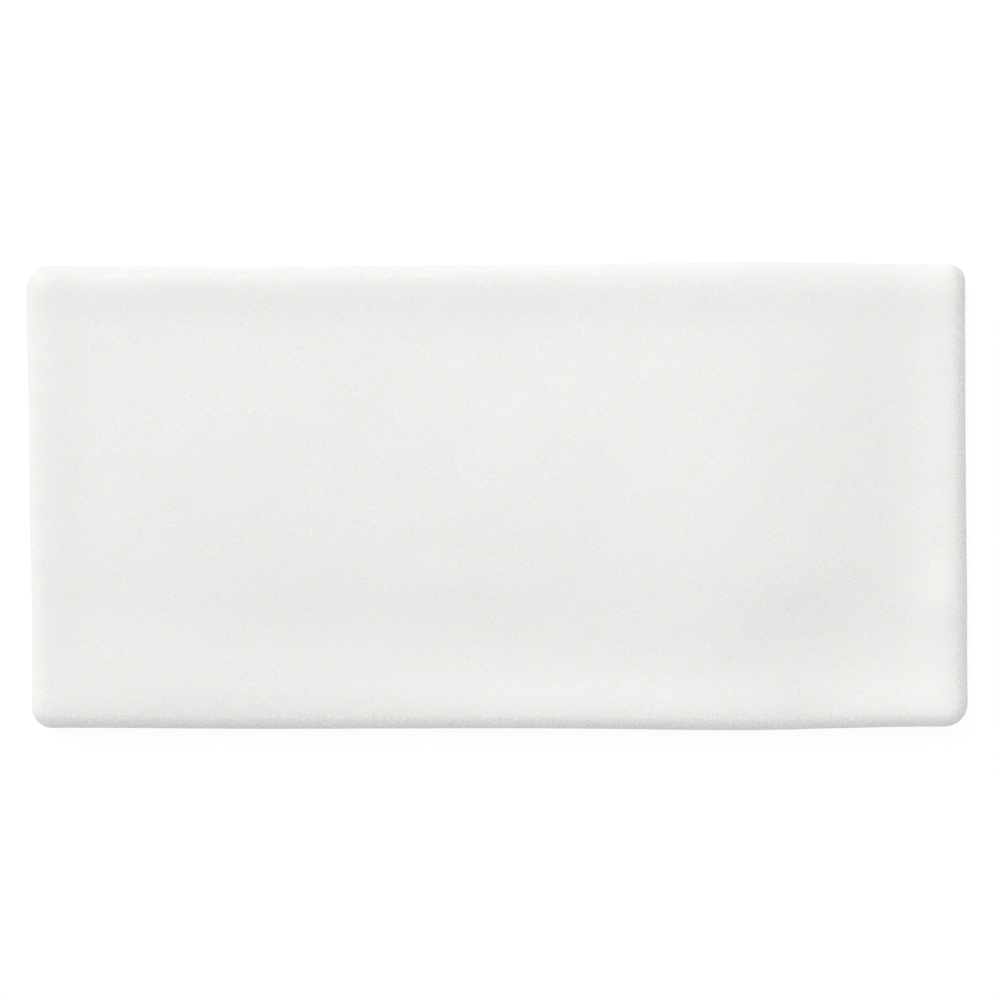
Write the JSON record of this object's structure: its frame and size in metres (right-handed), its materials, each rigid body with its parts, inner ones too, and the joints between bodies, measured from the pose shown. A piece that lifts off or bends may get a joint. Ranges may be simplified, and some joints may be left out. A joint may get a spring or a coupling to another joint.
{
  "type": "ceramic wall tile",
  "caption": "Rectangular white glazed ceramic wall tile with a softly wavy hand-pressed face, rolled edges, rounded corners and a grooved back for adhesive.",
  "frame": {"origin": "middle of the back's bedding plane, under the middle of the outline's box", "axes": "+Z out of the glazed face, +X along the length, +Y across the width; the tile lies on its back"},
  "size_m": [0.15, 0.0746, 0.0103],
  "materials": {
    "white_glaze": "satin"
  },
  "bodies": {
    "root": {"tile": "white_glaze"}
  },
  "joints": []
}
